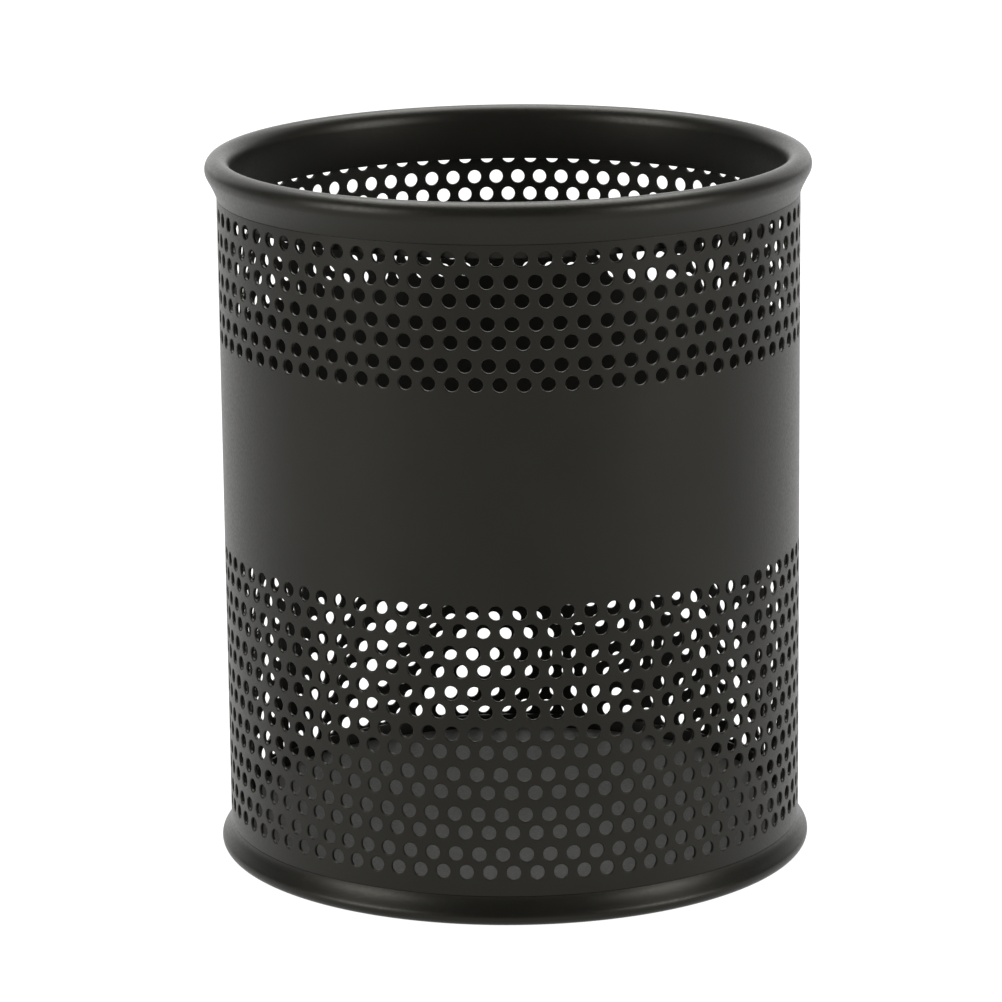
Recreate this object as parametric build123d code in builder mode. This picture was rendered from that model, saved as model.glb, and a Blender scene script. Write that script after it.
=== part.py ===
from build123d import *
from math import sqrt
import os

os.makedirs("parts", exist_ok=True)

# Pen holder cup in powder-coated sheet steel. Millimetres, +Z up.
# Origin: the middle of the base, on the plane the cup stands on.

# Driving dimensions
TUBE_R = 40.9            # outer radius of the perforated tube
SHEET = 0.5              # thickness of the perforated sheet
TUBE_FOOT_Z = 3.95       # lower edge of the tube
TUBE_TOP_Z = 94.3        # upper edge of the tube
CUP_HEIGHT = 100.0       # table to the crest of the rim

HOLE_R = 0.985           # one punched hole
HOLES_ROUND = 79         # holes in each row
LATTICE_TOP_Z = 92.35    # height of the first row of holes
PAIR_STEP = 5.667        # drop from one pair of rows to the next
STAGGER_DROP = 3.084     # drop from the first row of a pair to the second
STAGGER_TURN = -1.917    # turn of the second row against the first, degrees
FIRST_TURN = 2.17        # turn of the first hole against the front, degrees
PAIR_TURN = 0.139        # turn gained from pair to pair, degrees
ROWS = 31                # rows the lattice has over the whole sheet
PLAIN_ROWS = range(7, 17)    # rows left unpunched, the plain band

RIM_INNER_R = 38.9       # inner wall of the rim ring, the mouth of the cup
BASE_INNER_R = 39.8      # inner wall of the base ring
SKIRT_R = 40.35          # outer wall of the skirts that go inside the tube
NECK_R = 40.9            # outside of each ring where it meets the tube
EDGE_GAP = 0.05          # play between the tube's edges and the ring shoulders
RIM_SKIRT_LAP = 2.1      # how far the rim's skirt reaches down inside the tube
BASE_SKIRT_LAP = 2.2     # how far the base's skirt reaches up inside the tube

RIM_BEAD_R = 1.8         # section radius of the rolled lip
RIM_BEAD_MID_R = 40.7    # radius of the circle the lip is rolled about
RIM_MOUTH_DEPTH = 2.3    # height over which the mouth eases out to the crest
RIM_FLARE_R = 42.27      # where the flare runs into the lip
RIM_FLARE_BOW = 0.02     # how hollow the rim's flare is, as a share of its chord

BASE_BEAD_R = 1.1        # section radius of the foot bead
BASE_BEAD_MID_R = 41.15
BASE_FLARE_R = 42.05     # where the flare runs into the foot bead
BASE_HEEL_R = 0.5        # rounding of the foot towards the inside
BASE_FLARE_BOW = 0.14    # how hollow the base's flare is

FLOOR_R = 39.7
FLOOR_TOP_Z = 4.5
FLOOR_SHEET = 0.8
FLOOR_FLANGE_Z = 0.8     # lower edge of the turned-down flange
FLOOR_BEND_R = 1.2       # outer bend between the floor and its flange

CUTTER_LENGTH = 4 * SHEET


def bead_height(middle_r, bead_r, at_r):
    """How far the bead reaches above or below its middle at a given radius."""
    return sqrt(bead_r ** 2 - (at_r - middle_r) ** 2)


def hollow_arc(start, end, bow):
    """A shallow arc between two points, bowed to the left of the way from start to end."""
    dr = end[0] - start[0]
    dz = end[1] - start[1]
    middle = ((start[0] + end[0]) / 2 - bow * dz, (start[1] + end[1]) / 2 + bow * dr)
    return ThreePointArc(start, middle, end)


def row_turns(row):
    """Angles from the front of every hole in one row."""
    first = FIRST_TURN + (row // 2) * PAIR_TURN + (row % 2) * STAGGER_TURN
    return [first + place * 360 / HOLES_ROUND for place in range(HOLES_ROUND)]


def row_height(row):
    return LATTICE_TOP_Z - (row // 2) * PAIR_STEP - (row % 2) * STAGGER_DROP


def on_wall(turn, height, radius):
    """A place on the tube with its own Z pointing straight out of the wall."""
    return Location((0, 0, height), (0, 0, turn - 90)) * Location((radius, 0, 0), (0, 90, 0))


wall_mid_r = TUBE_R - SHEET / 2
tube_length = TUBE_TOP_Z - TUBE_FOOT_Z
hole_places = []
for row in range(ROWS):
    if row in PLAIN_ROWS:
        continue
    for turn in row_turns(row):
        hole_places.append(on_wall(turn, row_height(row), wall_mid_r))

# The perforated tube: one punched sheet rolled round, its plain band left between two punched ones
with BuildPart() as perforated_tube:
    with BuildSketch(Plane.XY.offset(TUBE_FOOT_Z)):
        Circle(TUBE_R)
        Circle(TUBE_R - SHEET, mode=Mode.SUBTRACT)
    extrude(amount=tube_length)
    with Locations(*hole_places):
        Cylinder(HOLE_R, CUTTER_LENGTH, mode=Mode.SUBTRACT)

# The rim ring: flared outside, rolled over at the crest, with a skirt inside the tube
rim_bead_z = CUP_HEIGHT - RIM_BEAD_R
rim_shoulder_z = TUBE_TOP_Z + EDGE_GAP
rim_flare_top = (RIM_FLARE_R, rim_bead_z - bead_height(RIM_BEAD_MID_R, RIM_BEAD_R, RIM_FLARE_R))
rim_crest = (RIM_BEAD_MID_R, CUP_HEIGHT)
rim_mouth_foot = (RIM_INNER_R, CUP_HEIGHT - RIM_MOUTH_DEPTH)
rim_skirt_z = TUBE_TOP_Z - RIM_SKIRT_LAP
with BuildPart() as rim_ring:
    with BuildSketch(Plane.XZ):
        with BuildLine():
            Line((SKIRT_R, rim_skirt_z), (SKIRT_R, rim_shoulder_z))
            Line((SKIRT_R, rim_shoulder_z), (NECK_R, rim_shoulder_z))
            hollow_arc((NECK_R, rim_shoulder_z), rim_flare_top, RIM_FLARE_BOW)
            ThreePointArc(rim_flare_top, (RIM_BEAD_MID_R + RIM_BEAD_R, rim_bead_z), rim_crest)
            EllipticalCenterArc(
                (RIM_BEAD_MID_R, rim_mouth_foot[1]),
                RIM_BEAD_MID_R - RIM_INNER_R,
                RIM_MOUTH_DEPTH,
                start_angle=90,
                arc_size=90,
            )
            Line(rim_mouth_foot, (RIM_INNER_R, rim_skirt_z))
            Line((RIM_INNER_R, rim_skirt_z), (SKIRT_R, rim_skirt_z))
        make_face()
    revolve(axis=Axis.Z)

# The base ring: the same idea turned over, flattened where it stands on the table
base_shoulder_z = TUBE_FOOT_Z - EDGE_GAP
base_skirt_z = TUBE_FOOT_Z + BASE_SKIRT_LAP
base_flare_foot = (BASE_FLARE_R, BASE_BEAD_R + bead_height(BASE_BEAD_MID_R, BASE_BEAD_R, BASE_FLARE_R))
land_outer = (BASE_BEAD_MID_R, 0)
land_inner = (BASE_INNER_R + BASE_HEEL_R, 0)
heel_middle = (BASE_INNER_R + BASE_HEEL_R * (1 - sqrt(0.5)), BASE_HEEL_R * (1 - sqrt(0.5)))
heel_top = (BASE_INNER_R, BASE_HEEL_R)
with BuildPart() as base_ring:
    with BuildSketch(Plane.XZ):
        with BuildLine():
            Line((BASE_INNER_R, base_skirt_z), (SKIRT_R, base_skirt_z))
            Line((SKIRT_R, base_skirt_z), (SKIRT_R, base_shoulder_z))
            Line((SKIRT_R, base_shoulder_z), (NECK_R, base_shoulder_z))
            hollow_arc((NECK_R, base_shoulder_z), base_flare_foot, -BASE_FLARE_BOW)
            ThreePointArc(base_flare_foot, (BASE_BEAD_MID_R + BASE_BEAD_R, BASE_BEAD_R), land_outer)
            Line(land_outer, land_inner)
            ThreePointArc(land_inner, heel_middle, heel_top)
            Line(heel_top, (BASE_INNER_R, base_skirt_z))
        make_face()
    revolve(axis=Axis.Z)

# The floor plate: a disc with its edge turned down inside the base ring
with BuildPart() as floor_plate:
    with BuildSketch(Plane.XY.offset(FLOOR_FLANGE_Z)):
        Circle(FLOOR_R)
    extrude(amount=FLOOR_TOP_Z - FLOOR_FLANGE_Z)
    fillet(floor_plate.edges().group_by(Axis.Z)[-1], FLOOR_BEND_R)
    with BuildSketch(Plane.XY.offset(FLOOR_FLANGE_Z)):
        Circle(FLOOR_R - FLOOR_SHEET)
    extrude(amount=FLOOR_TOP_Z - FLOOR_SHEET - FLOOR_FLANGE_Z, mode=Mode.SUBTRACT)

perforated_tube.part.label = "perforated_tube"
rim_ring.part.label = "rim_ring"
base_ring.part.label = "base_ring"
floor_plate.part.label = "floor_plate"

export_step(perforated_tube.part, "parts/perforated_tube.step", write_pcurves=False)
export_step(rim_ring.part, "parts/rim_ring.step")
export_step(base_ring.part, "parts/base_ring.step")
export_step(floor_plate.part, "parts/floor_plate.step")
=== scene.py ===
"""The pen holder cup's looks: its perforated wall, rolled rings and floor in black powder coat."""
import math

import bpy
from mathutils import Matrix, Vector


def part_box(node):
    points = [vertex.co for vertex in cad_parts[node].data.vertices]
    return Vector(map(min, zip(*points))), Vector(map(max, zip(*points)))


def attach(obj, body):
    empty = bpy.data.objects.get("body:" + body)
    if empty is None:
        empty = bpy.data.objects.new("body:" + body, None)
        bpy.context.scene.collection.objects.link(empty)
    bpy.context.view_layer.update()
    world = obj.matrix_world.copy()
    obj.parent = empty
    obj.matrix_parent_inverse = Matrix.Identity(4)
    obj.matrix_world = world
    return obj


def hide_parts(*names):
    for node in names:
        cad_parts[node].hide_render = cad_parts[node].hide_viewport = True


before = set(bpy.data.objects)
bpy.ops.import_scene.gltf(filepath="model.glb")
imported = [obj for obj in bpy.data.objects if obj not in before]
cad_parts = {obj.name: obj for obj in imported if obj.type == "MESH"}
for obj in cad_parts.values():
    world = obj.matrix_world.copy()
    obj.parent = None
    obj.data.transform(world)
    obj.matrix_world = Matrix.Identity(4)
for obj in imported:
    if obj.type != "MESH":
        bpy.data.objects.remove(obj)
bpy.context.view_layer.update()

MM = 0.001

# ---------------------------------------------------------------- sizes, in millimetres and degrees
# Turns are counted from the front (-Y) towards the right (+X).

tube_low, tube_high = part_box("perforated_tube")
rim_low, rim_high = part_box("rim_ring")
base_low, base_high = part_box("base_ring")
floor_low, floor_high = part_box("floor_plate")

TUBE_R = tube_high.x / MM
TUBE_FOOT = tube_low.z / MM
TUBE_TOP = tube_high.z / MM
CUP_TOP = rim_high.z / MM
RIM_R = rim_high.x / MM
BASE_R = base_high.x / MM
FLOOR_TOP = floor_high.z / MM

SHEET = 0.5
HOLE_R = 0.985
HOLE_ROUND = 0.18        # rounding of a hole's mouth, coat and all
EDGE_ROUND = 0.06        # rounding of the sheet's cut edges

LATTICE_TOP = 92.35      # height of the first row of holes
PAIR_STEP = 5.667        # drop from one pair of rows to the next
STAGGER_DROP = 3.084     # drop from the first row of a pair to the second
STAGGER_TURN = -1.917    # turn of the second row against the first
HOLES_ROUND = 79         # holes in each row
FIRST_TURN = 2.17        # turn of the first hole against the front
PAIR_TURN = 0.139        # turn gained from pair to pair
ROWS = 31                # rows the lattice has over the whole sheet
PLAIN_ROWS = range(7, 17)    # rows left unpunched, the plain band
SIDE_STEPS = 3           # points along each side of a lattice cell
FIRST_ANGLE = -30        # where a cell's outline starts, from the right of its hole
ARC_STEPS = 2            # steps in each small rounding

RIM_IN_R = 38.9
BASE_IN_R = 39.8
RIM_SKIRT_OUT_R = 39.7   # leaves a gap behind the first row of holes
BASE_SKIRT_OUT_R = 40.35
NECK_R = 40.9            # outside of each ring where it meets the tube
RIM_SKIRT_LAP = 2.1      # how far each skirt reaches along the inside of the tube
BASE_SKIRT_LAP = 2.2
SHOULDER_GAP = 0.015     # the coat all but fills the play between the tube and the rings
SKIRT_ROUND = 0.12
NECK_ROUND = 0.05
ROUND_STEPS = 3          # steps in each of those two roundings
BEAD_STEPS = 22
FLARE_STEPS = 10
RING_TURNS = 360
SHARP_EDGE = 38          # edges turning more than this are shaded sharp

RIM_BEAD_R = 1.8         # section radius of the rolled lip
RIM_FLARE_TURN = -29     # where on the lip the flare ends
RIM_MOUTH_DEPTH = 2.3    # height over which the mouth eases out to the crest

BASE_BEAD_R = 1.1        # section radius of the foot bead
BASE_FLARE_TURN = 35     # where on the foot bead the flare ends
BASE_HEEL_R = 0.5        # rounding of the foot towards the inside

FLOOR_SHEET = 0.8
FLOOR_BEND_R = 1.2       # outer bend between the floor and its turned-down edge
FLOOR_RINGS = (34, 26, 18, 10, 4)    # radii of the floor's rings of points
FLOOR_TURNS = 180

# ---------------------------------------------------------------- looks

BLACK = (0.006, 0.0058, 0.0048)
FLOOR_LIT_BLACK = (0.016, 0.0157, 0.0145)    # painted light: a lighter black than the wall's, standing in for the extra light the floor catches
CAMERA_PLACE = (0, -0.6612, 0.2122)
CAMERA_PITCH, CAMERA_YAW, CAMERA_ROLL = 13.825, -0.131, -0.631
LENS = 171.74


def polar(turn, height, radius):
    """A point in metres from its turn in degrees and its height and radius in millimetres."""
    a = math.radians(turn)
    return (radius * math.sin(a) * MM, -radius * math.cos(a) * MM, height * MM)


def new_mesh(name, points, faces, normals=None):
    mesh = bpy.data.meshes.new(name)
    mesh.from_pydata(points, [], faces)
    mesh.polygons.foreach_set("use_smooth", [True] * len(mesh.polygons))
    if normals is not None:
        mesh.normals_split_custom_set_from_vertices(normals)
    mesh.update()
    piece = bpy.data.objects.new(name, mesh)
    bpy.context.scene.collection.objects.link(piece)
    return piece


# ---------------------------------------------------------------- the perforated wall
# The sheet is laid out as a honeycomb with one cell round each place of the hole lattice. Cells
# in the plain band and past the first and last rows are blank and are cut off at the edges.


def lattice_point(row, place):
    row_turn = FIRST_TURN + (row // 2) * PAIR_TURN + (row % 2) * STAGGER_TURN
    turn = row_turn + place * 360 / HOLES_ROUND
    height = LATTICE_TOP - (row // 2) * PAIR_STEP - (row % 2) * STAGGER_DROP
    return turn, height


def cell_outline(row, place):
    """A cell's hexagon as turns and heights, anticlockwise, each side in SIDE_STEPS."""
    left = place - row % 2
    around = [
        (row, place + 1), (row - 1, left + 1), (row - 1, left),
        (row, place - 1), (row + 1, left), (row + 1, left + 1),
    ]
    spots = [lattice_point(*spot) for spot in around]
    turn, height = lattice_point(row, place)
    corners = []
    for (turn_1, height_1), (turn_2, height_2) in zip([spots[-1]] + spots, spots):
        corners.append(((turn + turn_1 + turn_2) / 3, (height + height_1 + height_2) / 3))
    return subdivided(corners, lambda a, b: SIDE_STEPS)


def subdivided(loop, steps_between):
    """A closed loop with each side divided into as many steps as steps_between gives for it."""
    fine = []
    for a, b in zip(loop, loop[1:] + loop[:1]):
        steps = steps_between(a, b)
        for step in range(steps):
            t = step / steps
            fine.append((a[0] + t * (b[0] - a[0]), a[1] + t * (b[1] - a[1])))
    return fine


def cut_off(loop, limit, side):
    """A convex loop cut at a height, keeping what is above it (side 1) or below it (side -1)."""
    kept = []
    for (turn, height), (next_turn, next_height) in zip(loop, loop[1:] + loop[:1]):
        here = side * (height - limit)
        there = side * (next_height - limit)
        if here >= 0:
            kept.append((turn, height))
        if here * there < 0:
            t = here / (here - there)
            kept.append((turn + t * (next_turn - turn), limit))
    return kept


class Sheet:
    """The sheet's two skins over one honeycomb, the hole walls and the rounded edges."""

    def __init__(self):
        self.low_z = TUBE_FOOT + EDGE_ROUND
        self.high_z = TUBE_TOP - EDGE_ROUND
        self.points, self.normals, self.faces = [], [], []
        self.skin = {}    # (turn, height) -> outer and inner point
        self.runs = {}    # (outer, inner) point -> the points over the rounded edge between them

    def add(self, turn, height, radius, normal):
        self.points.append(polar(turn, height, radius))
        a = math.radians(turn)
        out, along, up = normal
        self.normals.append((
            out * math.sin(a) + along * math.cos(a),
            -out * math.cos(a) + along * math.sin(a),
            up,
        ))
        return len(self.points) - 1

    def pair(self, turn, height):
        """The outer and inner skin points at one place."""
        key = (round(turn % 360, 4) % 360, round(height, 5))
        if key not in self.skin:
            outer = self.add(turn, height, TUBE_R, (1, 0, 0))
            inner = self.add(turn, height, TUBE_R - SHEET, (-1, 0, 0))
            self.skin[key] = (outer, inner)
        return self.skin[key]

    def band(self, first, second):
        """Quads between two runs of points."""
        for j in range(len(first) - 1):
            self.faces.append((first[j], first[j + 1], second[j + 1], second[j]))

    def on_edge(self, a, b):
        """Whether a side lies along the upper or the lower edge of the sheet."""
        return a[1] == b[1] and a[1] in (self.low_z, self.high_z)

    def blank_cell(self, row, place):
        """A cell without a hole: a fan on each skin, and the edge of the sheet where it has one."""
        loop = cut_off(cut_off(cell_outline(row, place), self.low_z, 1), self.high_z, -1)
        if len(loop) < 3:
            return
        loop = subdivided(loop, lambda a, b: SIDE_STEPS if self.on_edge(a, b) else 1)
        turns, heights = zip(*loop)
        middle = self.pair(sum(turns) / len(turns), sum(heights) / len(heights))
        for a, b in zip(loop, loop[1:] + loop[:1]):
            (a_out, a_in), (b_out, b_in) = self.pair(*a), self.pair(*b)
            self.faces.append((middle[0], a_out, b_out))
            self.faces.append((middle[1], b_in, a_in))
            if self.on_edge(a, b):
                self.band(self.edge_run(*a), self.edge_run(*b))

    def edge_run(self, turn, height):
        """The points from the outer skin over the rounded edge to the inner skin."""
        ends = self.pair(turn, height)
        if ends not in self.runs:
            up = 1 if height == self.high_z else -1
            steps = []
            for step in range(1, ARC_STEPS + 2):
                a = math.pi / 2 * step / (ARC_STEPS + 1)
                rise, depth = EDGE_ROUND * math.sin(a), EDGE_ROUND * (1 - math.cos(a))
                steps.append((rise, depth, math.cos(a), math.sin(a)))
            steps += [
                (rise, SHEET - depth, -out, lift) for rise, depth, out, lift in steps[::-1]
            ]
            run = [
                self.add(turn, height + up * rise, TUBE_R - depth, (out, 0, up * lift))
                for rise, depth, out, lift in steps
            ]
            self.runs[ends] = [ends[0]] + run + [ends[1]]
        return self.runs[ends]

    def holed_cell(self, row, place):
        """A cell with its hole: rings of points from the outer skin through to the inner one."""
        loop = [self.pair(*spot) for spot in cell_outline(row, place)]
        turn, height = lattice_point(row, place)
        turn_per_mm = 360 / (2 * math.pi * TUBE_R)
        angles = [math.radians(FIRST_ANGLE + 360 / len(loop) * j) for j in range(len(loop))]
        rings = [[outer for outer, inner in loop]]
        for spread, depth, out, inward in HOLE_PROFILE:
            ring = []
            for a in angles:
                x, z = spread * math.cos(a), spread * math.sin(a)
                normal = (out, -inward * math.cos(a), -inward * math.sin(a))
                ring.append(
                    self.add(turn + x * turn_per_mm, height + z, TUBE_R - depth, normal)
                )
            rings.append(ring)
        rings.append([inner for outer, inner in loop])
        for wide, narrow in zip(rings, rings[1:]):
            self.band(wide + wide[:1], narrow + narrow[:1])

    def build(self):
        for row in range(-1, ROWS + 1):
            for place in range(HOLES_ROUND):
                if 0 <= row < ROWS and row not in PLAIN_ROWS:
                    self.holed_cell(row, place)
                else:
                    self.blank_cell(row, place)
        return new_mesh("wall_sheet", self.points, self.faces, self.normals)


def hole_profile():
    """Steps through a hole: distance from its middle, depth, and the normal's lean out and in."""
    mouth = []
    for step in range(ARC_STEPS + 1):
        a = math.pi / 2 * step / ARC_STEPS
        spread = HOLE_R + HOLE_ROUND * (1 - math.sin(a))
        mouth.append((spread, HOLE_ROUND * (1 - math.cos(a)), math.cos(a), math.sin(a)))
    inner_mouth = [
        (spread, SHEET - depth, -out, inward) for spread, depth, out, inward in mouth[::-1]
    ]
    return mouth + inner_mouth


HOLE_PROFILE = hole_profile()


# ---------------------------------------------------------------- turned pieces


def arc(middle, radius_r, radius_z, start, end, steps):
    """Points on an ellipse in the (radius, height) half plane, angles in degrees from outwards."""
    points = []
    for step in range(steps + 1):
        a = math.radians(start + (end - start) * step / steps)
        points.append((middle[0] + radius_r * math.cos(a), middle[1] + radius_z * math.sin(a)))
    return points


def on_bead(middle, radius, turn):
    """The point of a round bead at an angle from outwards."""
    return arc(middle, radius, radius, turn, turn, 1)[0]


def curve_between(start, start_slope, end, end_slope, steps):
    """A smooth run between two points with the given directions at its ends."""
    p0, p3 = Vector(start), Vector(end)
    reach = (p3 - p0).length / 3
    p1 = p0 + Vector(start_slope).normalized() * reach
    p2 = p3 - Vector(end_slope).normalized() * reach
    points = []
    for step in range(steps + 1):
        t = step / steps
        s = 1 - t
        p = p0 * s ** 3 + p1 * 3 * s * s * t + p2 * 3 * s * t * t + p3 * t ** 3
        points.append((p.x, p.y))
    return points


def without_repeats(profile):
    """An outline without the doubled points where its parts join."""
    kept = []
    for point in profile:
        if not kept or math.dist(point, kept[-1]) > 1e-4:
            kept.append(point)
    if math.dist(kept[0], kept[-1]) < 1e-4:
        kept.pop()
    return kept


def spun(profile, turns, left_open=()):
    """Points and quads of a closed outline carried round the axis; left_open names bare sides."""
    count = len(profile)
    points = [polar(360 * t / turns, z, r) for t in range(turns) for r, z in profile]
    faces = []
    for t in range(turns):
        here, there = t * count, (t + 1) % turns * count
        for j in range(count):
            if j not in left_open:
                n = (j + 1) % count
                faces.append((here + j, there + j, there + n, here + n))
    return points, faces


def shaded_mesh(name, points, faces):
    piece = new_mesh(name, points, faces)
    piece.data.set_sharp_from_angle(angle=math.radians(SHARP_EDGE))
    return piece


def ring(name, profile):
    """A ring turned from a closed outline given anticlockwise as (radius, height) points."""
    return shaded_mesh(name, *spun(without_repeats(profile), RING_TURNS))


def skirt_end(inner_r, outer_r, height, up):
    """The rounded end of a ring's skirt, from its inner wall to its outer one."""
    fillet = SKIRT_ROUND
    z = height - up * fillet
    inner = arc((inner_r + fillet, z), fillet, fillet, 180, 180 - up * 90, ROUND_STEPS)
    outer = arc((outer_r - fillet, z), fillet, fillet, up * 90, 0, ROUND_STEPS)
    return inner + outer


def neck(skirt_r, height, up):
    """The ring's corner against the tube's edge: the shoulder, rounded out to the neck."""
    fillet = NECK_ROUND
    middle = (NECK_R - fillet, height + up * fillet)
    return [(skirt_r, height)] + arc(middle, fillet, fillet, -up * 90, 0, ROUND_STEPS)


def rim_piece():
    """The rim ring: a skirt inside the tube, a flare outside and the lip rolled over the top."""
    bead = (RIM_R - RIM_BEAD_R, CUP_TOP - RIM_BEAD_R)
    flare_top = on_bead(bead, RIM_BEAD_R, RIM_FLARE_TURN)
    mouth = (bead[0], CUP_TOP - RIM_MOUTH_DEPTH)
    profile = skirt_end(RIM_IN_R, RIM_SKIRT_OUT_R, TUBE_TOP - RIM_SKIRT_LAP, -1)
    profile += neck(RIM_SKIRT_OUT_R, TUBE_TOP + SHOULDER_GAP, 1)
    profile += curve_between(profile[-1], (0.3, 0.95), flare_top, (0.485, 0.875), FLARE_STEPS)
    profile += arc(bead, RIM_BEAD_R, RIM_BEAD_R, RIM_FLARE_TURN, 90, BEAD_STEPS)
    profile += arc(mouth, bead[0] - RIM_IN_R, RIM_MOUTH_DEPTH, 90, 180, BEAD_STEPS)
    return ring("rim_rolled", profile)


def base_piece():
    """The base ring: the same kind of section turned over, flattened where it stands."""
    bead = (BASE_R - BASE_BEAD_R, BASE_BEAD_R)
    flare_foot = on_bead(bead, BASE_BEAD_R, BASE_FLARE_TURN)
    heel = (BASE_IN_R + BASE_HEEL_R, BASE_HEEL_R)
    shoulder = neck(BASE_SKIRT_OUT_R, TUBE_FOOT - SHOULDER_GAP, -1)[::-1]
    profile = arc(heel, BASE_HEEL_R, BASE_HEEL_R, 180, 270, 5)
    profile += arc(bead, BASE_BEAD_R, BASE_BEAD_R, -90, BASE_FLARE_TURN, BEAD_STEPS)
    profile += curve_between(flare_foot, (-0.57, 0.82), shoulder[0], (-0.17, 0.98), FLARE_STEPS)
    profile += shoulder
    profile += skirt_end(BASE_IN_R, BASE_SKIRT_OUT_R, TUBE_FOOT + BASE_SKIRT_LAP, 1)[::-1]
    return ring("base_rolled", profile)


def floor_piece():
    """The floor: a pressed pan turned down at its edge, closed in the middle."""
    out_r, foot = floor_high.x / MM, floor_low.z / MM
    under = FLOOR_TOP - FLOOR_SHEET
    bend = (out_r - FLOOR_BEND_R, FLOOR_TOP - FLOOR_BEND_R)
    inner_bend_r = FLOOR_BEND_R - FLOOR_SHEET
    profile = [(out_r - FLOOR_SHEET, foot), (out_r, foot)]
    profile += arc(bend, FLOOR_BEND_R, FLOOR_BEND_R, 0, 90, 8)
    profile += [(r, FLOOR_TOP) for r in FLOOR_RINGS]
    upper = len(profile)
    profile += [(r, under) for r in FLOOR_RINGS[::-1]]
    profile += arc(bend, inner_bend_r, inner_bend_r, 90, 0, 4)
    points, faces = spun(profile, FLOOR_TURNS, left_open=(upper - 1,))
    for height, rim, flip in ((FLOOR_TOP, upper - 1, False), (under, upper, True)):
        middle = len(points)
        points.append((0, 0, height * MM))
        for t in range(FLOOR_TURNS):
            a = t * len(profile) + rim
            b = (t + 1) % FLOOR_TURNS * len(profile) + rim
            faces.append((middle, b, a) if flip else (middle, a, b))
    return shaded_mesh("floor_pan", points, faces)


# ---------------------------------------------------------------- powder coat


def powder_coat(name, colour, roughness):
    """Satin black powder coat: a fine orange peel and a faint cloudiness."""
    material = bpy.data.materials.new(name)
    material.use_nodes = True
    tree = material.node_tree
    shader = tree.nodes["Principled BSDF"]
    shader.inputs["Specular IOR Level"].default_value = 0.2
    shader.inputs["Specular Tint"].default_value = (1, 0.97, 0.86, 1)
    where = tree.nodes.new("ShaderNodeTexCoord")

    def noise(scale, detail):
        node = tree.nodes.new("ShaderNodeTexNoise")
        node.inputs["Scale"].default_value = scale
        node.inputs["Detail"].default_value = detail
        tree.links.new(where.outputs["Object"], node.inputs["Vector"])
        return node.outputs["Fac"]

    def spread(value, low, high):
        node = tree.nodes.new("ShaderNodeMapRange")
        node.inputs["From Min"].default_value = 0.3
        node.inputs["From Max"].default_value = 0.7
        node.inputs["To Min"].default_value = low
        node.inputs["To Max"].default_value = high
        tree.links.new(value, node.inputs["Value"])
        return node.outputs["Result"]

    clouds = noise(90, 3)       # patches of about 11 mm
    grains = noise(2600, 2)     # grains of about 0.4 mm
    mix = tree.nodes.new("ShaderNodeMix")
    mix.data_type = "RGBA"
    tree.links.new(spread(clouds, 0.0, 1.0), mix.inputs["Factor"])
    mix.inputs["A"].default_value = [c * 0.85 for c in colour] + [1]
    mix.inputs["B"].default_value = [c * 1.15 for c in colour] + [1]
    tree.links.new(mix.outputs["Result"], shader.inputs["Base Color"])
    tree.links.new(spread(grains, roughness - 0.05, roughness + 0.05), shader.inputs["Roughness"])
    bump = tree.nodes.new("ShaderNodeBump")
    bump.inputs["Strength"].default_value = 0.25
    bump.inputs["Distance"].default_value = 0.00004
    tree.links.new(grains, bump.inputs["Height"])
    tree.links.new(bump.outputs["Normal"], shader.inputs["Normal"])
    return material


# ---------------------------------------------------------------- the object

wall_coat = powder_coat("wall_powder_coat", BLACK, 0.38)
ring_coat = powder_coat("ring_powder_coat", BLACK, 0.36)
# painted light: the floor gets a lighter copy of the same black coat, for the light it catches
floor_lit_coat = powder_coat("floor_powder_coat_lit", FLOOR_LIT_BLACK, 0.45)

MAKERS = (
    (Sheet().build, "perforated_tube", wall_coat, "powder_coat_wall"),
    (rim_piece, "rim_ring", ring_coat, "powder_coat_rings"),
    (base_piece, "base_ring", ring_coat, "powder_coat_rings"),
    (floor_piece, "floor_plate", floor_lit_coat, "powder_coat_floor"),
)
for make, node, coat, slot in MAKERS:
    piece = make()
    piece.data.materials.append(coat)
    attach(piece, "root")
    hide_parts(node)


# ---------------------------------------------------------------- floor, light and camera


def pale_floor():
    """A light table: pale, glowing, and so without a shadow under the cup."""
    reach = 6.0
    points = [(-reach, -reach, 0), (reach, -reach, 0), (reach, reach, 0), (-reach, reach, 0)]
    floor = new_mesh("stage_floor", points, [(0, 1, 2, 3)])
    material = bpy.data.materials.new("stage_paper")
    material.use_nodes = True
    shader = material.node_tree.nodes["Principled BSDF"]
    shader.inputs["Base Color"].default_value = (0.1, 0.1, 0.1, 1)
    shader.inputs["Roughness"].default_value = 0.9
    shader.inputs["Specular IOR Level"].default_value = 0.1
    shader.inputs["Emission Color"].default_value = (1, 1, 1, 1)
    shader.inputs["Emission Strength"].default_value = 0.98
    floor.data.materials.append(material)


def soft_box(name, place, aim, width, height, power):
    """A lamp with a broad face, in metres and watts."""
    lamp = bpy.data.lights.new(name, "AREA")
    lamp.shape = "RECTANGLE"
    lamp.size = width
    lamp.size_y = height
    lamp.energy = power
    holder = bpy.data.objects.new(name, lamp)
    holder.location = place
    holder.rotation_euler = (Vector(aim) - Vector(place)).to_track_quat("-Z", "Y").to_euler()
    bpy.context.scene.collection.objects.link(holder)


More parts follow.
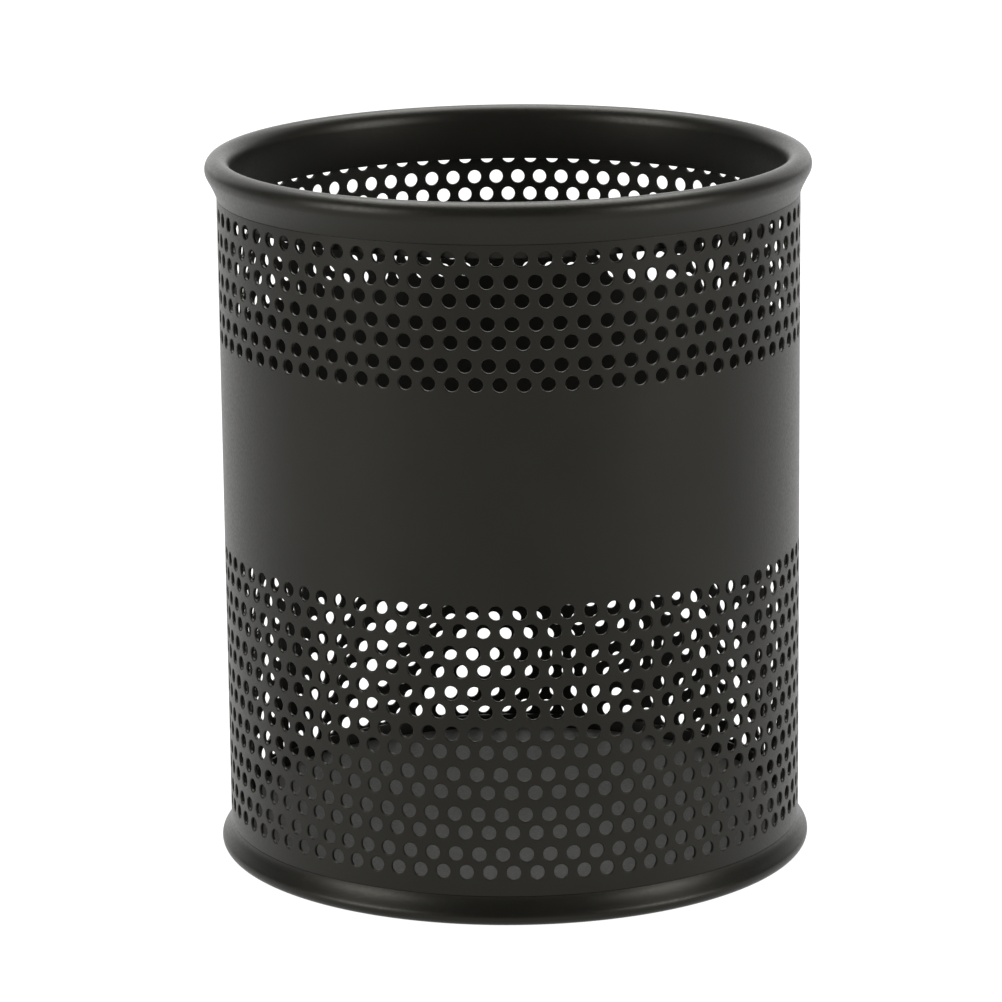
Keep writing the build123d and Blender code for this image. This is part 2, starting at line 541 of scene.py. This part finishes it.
def sky():
    """A white sweep low down all round and up the back, and a dark room elsewhere."""
    world = bpy.data.worlds.new("studio")
    world.use_nodes = True
    tree = world.node_tree
    back = tree.nodes["Background"]
    back.inputs["Color"].default_value = (1, 1, 1, 1)
    where = tree.nodes.new("ShaderNodeTexCoord")

    def lobe(direction, start, end, low, high):
        """Brightness that eases from low to high as the sky's cosine to direction rises."""
        dot = tree.nodes.new("ShaderNodeVectorMath")
        dot.operation = "DOT_PRODUCT"
        tree.links.new(where.outputs["Generated"], dot.inputs[0])
        dot.inputs[1].default_value = direction
        fade = tree.nodes.new("ShaderNodeMapRange")
        fade.interpolation_type = "SMOOTHSTEP"
        settings = (("From Min", start), ("From Max", end), ("To Min", low), ("To Max", high))
        for name, value in settings:
            fade.inputs[name].default_value = value
        tree.links.new(dot.outputs["Value"], fade.inputs["Value"])
        return fade.outputs["Result"]

    total = tree.nodes.new("ShaderNodeMath")
    total.operation = "ADD"
    tree.links.new(lobe((0, 0, 1), 0.1, 0.32, 0.35, 0.05), total.inputs[0])
    tree.links.new(lobe((0, 0.78, 0.62), 0.55, 0.8, 0.0, 1.4), total.inputs[1])
    tree.links.new(total.outputs["Value"], back.inputs["Strength"])
    bpy.context.scene.world = world


def studio():
    sky()
    soft_box("top_light", (0, 0.5, 1.1), (0, 0.45, 0), 1.0, 1.0, 25)
    for side in (-1, 1):
        soft_box("front_light", (side * 0.9, -0.5, 0.4), (0, 0, 0.06), 0.5, 0.6, 8.5)
    bpy.context.scene.view_settings.view_transform = "Standard"


def camera():
    """A long lens, a little above the rim, turned and rolled a hair off the cup's axis."""
    pitch, yaw, roll = (math.radians(a) for a in (CAMERA_PITCH, CAMERA_YAW, CAMERA_ROLL))
    flat = math.cos(pitch)
    ahead = Vector((math.sin(yaw) * flat, math.cos(yaw) * flat, -math.sin(pitch)))
    level = Vector((math.cos(yaw), -math.sin(yaw), 0))
    above = level.cross(ahead)
    right = math.cos(roll) * level + math.sin(roll) * above
    up = -math.sin(roll) * level + math.cos(roll) * above
    lens = bpy.data.cameras.new("camera")
    lens.lens = LENS
    lens.sensor_width = 36
    lens.clip_start = 0.01
    lens.clip_end = 50
    holder = bpy.data.objects.new("camera", lens)
    turn = Matrix((right, up, -ahead)).transposed().to_4x4()
    holder.matrix_world = Matrix.Translation(CAMERA_PLACE) @ turn
    bpy.context.scene.collection.objects.link(holder)
    bpy.context.scene.camera = holder


pale_floor()
studio()
camera()
